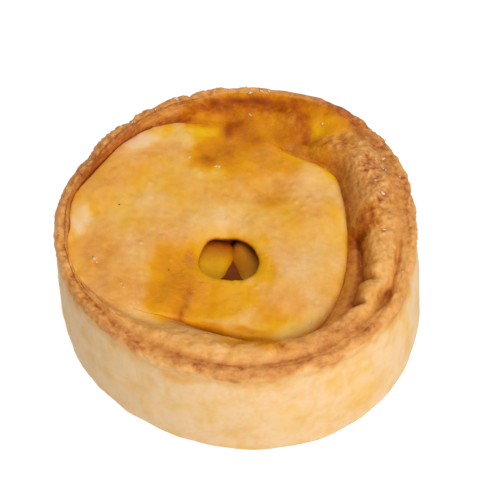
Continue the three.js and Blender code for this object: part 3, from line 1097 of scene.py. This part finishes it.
# The two pieces of chicken under the steam hole
chicken = {
    "pieces": [
        {"name": "chickenLeft", "node": "chunk_left", "size": (12.6, 13.4, 9.8), "at": (-8.4, -1.9, 16.1),
         "turn": (21, 10, -10), "coat": (0.7, 0.33, 0.003, 1), "bare": (0.62, 0.3, 0.006, 1),
         "shade": (-5, 1)},
        {"name": "chickenRight", "node": "chunk_right", "size": (11.8, 13.4, 9.2), "at": (4.2, -1.6, 16.3),
         "turn": (19, -8, 10), "coat": (0.5, 0.18, 0.006, 1), "bare": (0.45, 0.17, 0.012, 1),
         "shade": (-3, 4)},
    ],
    "sauceAndShade": (0.36, 0.08, 0.004, 1),  # dark sauce and painted shade, over the part under the lid, between the two y values of shade
    "cuts": 26,
    "rounding": 3.2,
    "unevenness": 0.09,
    "grain": 4,
    "fibre": 0.12,
    "fibreGrain": 1.1,
    "fibreSeed": 2.7,
    "fibreStretch": 0.4,  # lower gives longer fibres
    "coatSize": 3.0,
    "coatEdge": (0.38, 0.62),
    "rough": 0.4,
    "specular": 0.03,
    "bumpSize": 0.9,
    "bumpStrength": 0.4,
    "bumpDepth": 0.2,
    "scatter": 0.15,
    "scatterTint": (1.0, 0.5, 0.1),
    "scatterDepth": 2.0,
}


def makeChicken(spec):
    bm = bmesh.new()
    bmesh.ops.create_cube(bm, size=2)
    bmesh.ops.subdivide_edges(bm, edges=bm.edges[:], cuts=chicken["cuts"], use_grid_fill=True)
    # Painted shade with dark sauce on the part that lies back under the lid
    sauceAndShade = bm.verts.layers.float.new("sauceAndShade")
    half = Vector(spec["size"]) / 2
    turn = Euler([math.radians(degrees) for degrees in spec["turn"]]).to_matrix()
    for vert in bm.verts:
        place = Vector(vert.co[i] * half[i] for i in range(3))
        core = Vector(clamp(place[i], chicken["rounding"] - half[i], half[i] - chicken["rounding"])
                      for i in range(3))
        place = core + (place - core).normalized() * chicken["rounding"]
        swell = 1 + chicken["unevenness"] * lumps(*(place + Vector(spec["at"])), chicken["grain"])
        along = place.x * chicken["fibreStretch"]
        fibre = lumps(along, place.y, place.z, chicken["fibreGrain"], chicken["fibreSeed"])
        lift = place.normalized() * fibre * chicken["fibre"]
        place = turn @ (place * swell + lift) + Vector(spec["at"])
        vert.co = place * mm
        vert[sauceAndShade] = soften(place.y, *spec["shade"])
    closeMesh(bm)
    material, tree, shader = newMaterial(spec["name"] + "Curried")
    place = objectPlace(tree)
    thin, thick = chicken["coatEdge"]
    coat = ramp(tree, noiseNode(tree, place, chicken["coatSize"]), [(thin, (0, 0, 0)), (thick, (1, 1, 1))])
    colour = mixColour(tree, coat, spec["bare"], spec["coat"])
    # the painted shade and sauce darken the part under the lid
    colour = mixColour(tree, attributeOf(tree, "sauceAndShade"), colour, chicken["sauceAndShade"])
    tree.links.new(colour, shader.inputs["Base Color"])
    setSockets(shader, {"Roughness": chicken["rough"], "Specular IOR Level": chicken["specular"]})
    grain = noiseNode(tree, place, chicken["bumpSize"])
    addBump(tree, shader, grain, chicken["bumpStrength"], chicken["bumpDepth"] * mm)
    addScatter(shader, chicken["scatter"], chicken["scatterTint"], chicken["scatterDepth"])
    finishPiece(bm, spec["name"], material, spec["node"])


# Loose bits on the crust; the pale fat bits also stand in for glints, as painted highlights. A cluster on the
# rim or collar is (degrees, share of the way in, spread in degrees, count), and one on the lid is (x, y,
# spread in mm, count)
bits = {
    "kinds": {
        # pale bits of fat, placed partly as painted highlights where the crust glints
        "fat": {
            "size": (0.25, 0.55), "flat": 0.22, "colour": (0.9, 0.66, 0.42, 1), "rough": 0.4,
            "rim": [(84, 0.8, 3, 7), (112, 0.6, 3, 2), (128, 0.8, 6, 4), (166, 0.7, 10, 4), (25, 0.8, 8, 3)],
            "collar": [
                (82, 0.3, 6, 2), (25, 0.22, 4, 9), (14, 0.3, 4, 3), (-2, 0.45, 3, 1), (52, 0.3, 4, 2),
                (-150, 0.4, 6, 3), (-18, 0.1, 3, 1),
            ],
            "lid": [
                (-35.6, -9.2, 0.5, 3), (-29.1, -17.7, 0.5, 2), (-25.2, -22.6, 0.6, 3),
                (-5.8, 22.4, 1.2, 3), (-13, 25.6, 1.6, 2), (14.5, -27, 1.6, 2),
            ],
        },
        "spice": {
            "size": (0.22, 0.36), "flat": 0.5, "colour": (0.05, 0.022, 0.008, 1), "rough": 0.5,
            "rim": [], "collar": [], "lid": [(-17.6, -11, 0.1, 1), (-30.4, 8.4, 0.1, 1)],
        },
    },
    "rimScatter": 0.12,
    "rimBand": (0.3, 0.98),  # share of the rim's profile that holds bits
    "collarScatter": 0.08,
    "length": (0.9, 2.0),
    "width": (0.4, 0.9),
    "tilt": 0.4,
    "dents": 0.4,
    "shade": 0.7,
    "shadeSize": 0.8,
}


def bitPlaces(spec, draw):
    for degrees, share, spread, count in spec["rim"]:
        for _ in range(count):
            angle = math.radians(draw.gauss(degrees, spread))
            yield rimPoint(angle, clamp(draw.gauss(share, bits["rimScatter"]), *bits["rimBand"]))[:3]
    for degrees, share, spread, count in spec["collar"]:
        for _ in range(count):
            angle = math.radians(draw.gauss(degrees, spread))
            yield collarPoint(angle, clamp(draw.gauss(share, bits["collarScatter"])))[:3]
    for x, y, spread, count in spec["lid"]:
        for _ in range(count):
            px, py = draw.gauss(x, spread), draw.gauss(y, spread)
            yield px, py, lidSurface(px, py)


def makeBits(kind, spec):
    draw = random.Random(kind)
    bm = bmesh.new()
    for place in bitPlaces(spec, draw):
        size = draw.uniform(*spec["size"])
        made = bmesh.ops.create_icosphere(bm, subdivisions=1, radius=size)["verts"]
        stretch = Vector((draw.uniform(*bits["length"]), draw.uniform(*bits["width"]), spec["flat"]))
        tilts = [draw.uniform(-bits["tilt"], bits["tilt"]) for _ in range(2)]
        turn = Euler((*tilts, draw.uniform(0, 6.3))).to_matrix()
        for vert in made:
            dent = 1 + bits["dents"] * draw.uniform(-1, 1)
            vert.co = (turn @ (vert.co * stretch * dent) + Vector(place)) * mm
    closeMesh(bm)
    material, tree, shader = newMaterial(kind + "Bits")
    place = objectPlace(tree)
    dark = tuple(bits["shade"] * part for part in spec["colour"][:3]) + (1,)
    colour = mixColour(tree, noiseNode(tree, place, bits["shadeSize"], 2), dark, spec["colour"])
    tree.links.new(colour, shader.inputs["Base Color"])
    setSockets(shader, {"Roughness": spec["rough"]})
    finishPiece(bm, kind + "Bits", material)


# Stage, light and camera
studio = {
    "target": (0.5, -4.1, 29.5),
    "elevation": 53.4,
    "distance": 550,
    "sensor": 36,
    "focalPixels": 2200,
    "picturePixels": 483,
    "floorSize": 6.0,  # this and the lights are in metres
    "floorGrey": (0.18, 0.18, 0.18, 1),
    "floorRough": 0.9,
    "floorGlow": 0.92,
    "airGlow": 0.18,
    "lights": [  # name, place, size, power and colour
        ("keyLight", (0.42, -0.68, 0.58), 0.34, 4.6, (1.0, 0.96, 0.88)),
        ("topLight", (0.08, -0.22, 1.0), 0.6, 5.8, (1.0, 0.985, 0.96)),
        ("glintLight", (0.1, 0.62, 0.85), 0.05, 0.7, (1.0, 1.0, 1.0)),
    ],
}


def makeStage():
    bm = bmesh.new()
    bmesh.ops.create_grid(bm, x_segments=1, y_segments=1, size=studio["floorSize"] / 2)
    material, _, shader = newMaterial("floorWhite")
    setSockets(shader, {
        "Base Color": studio["floorGrey"], "Roughness": studio["floorRough"], "Specular IOR Level": 0.0,
        "Emission Color": (1, 1, 1, 1), "Emission Strength": studio["floorGlow"],
    })
    floor = meshObject(bm, "floor", material)


def areaLight(name, place, size, power, colour):
    lamp = bpy.data.lights.new(name, "AREA")
    lamp.shape = "DISK"
    lamp.size = size
    lamp.energy = power
    lamp.color = colour
    holder = bpy.data.objects.new(name, lamp)
    holder.location = place
    holder.rotation_euler = (-Vector(place)).to_track_quat("-Z", "Y").to_euler()
    scene.collection.objects.link(holder)


def makeStudio():
    world = bpy.data.worlds.new("studioAir")
    world.use_nodes = True
    setSockets(world.node_tree.nodes["Background"], {"Color": (1, 1, 1, 1), "Strength": studio["airGlow"]})
    scene.world = world
    for light in studio["lights"]:
        areaLight(*light)
    scene.view_settings.view_transform = "Standard"
    print(len(studio["lights"]), "lights hung")


def makeCamera():
    tilt = math.radians(studio["elevation"])
    target = Vector(studio["target"]) * mm
    away = Vector((0, -math.cos(tilt), math.sin(tilt))) * studio["distance"] * mm
    lens = bpy.data.cameras.new("camera")
    lens.lens = studio["focalPixels"] / studio["picturePixels"] * studio["sensor"]
    lens.sensor_width = studio["sensor"]
    camera = bpy.data.objects.new("camera", lens)
    camera.location = target + away
    camera.rotation_euler = (-away).to_track_quat("-Z", "Y").to_euler()
    scene.collection.objects.link(camera)
    scene.camera = camera
    print("camera set")


makeCamera()
makeStudio()
makeStage()
makeCase()
makeLid()
makeFilling()
for spec in chicken["pieces"]:
    makeChicken(spec)
for kind, spec in bits["kinds"].items():
    makeBits(kind, spec)
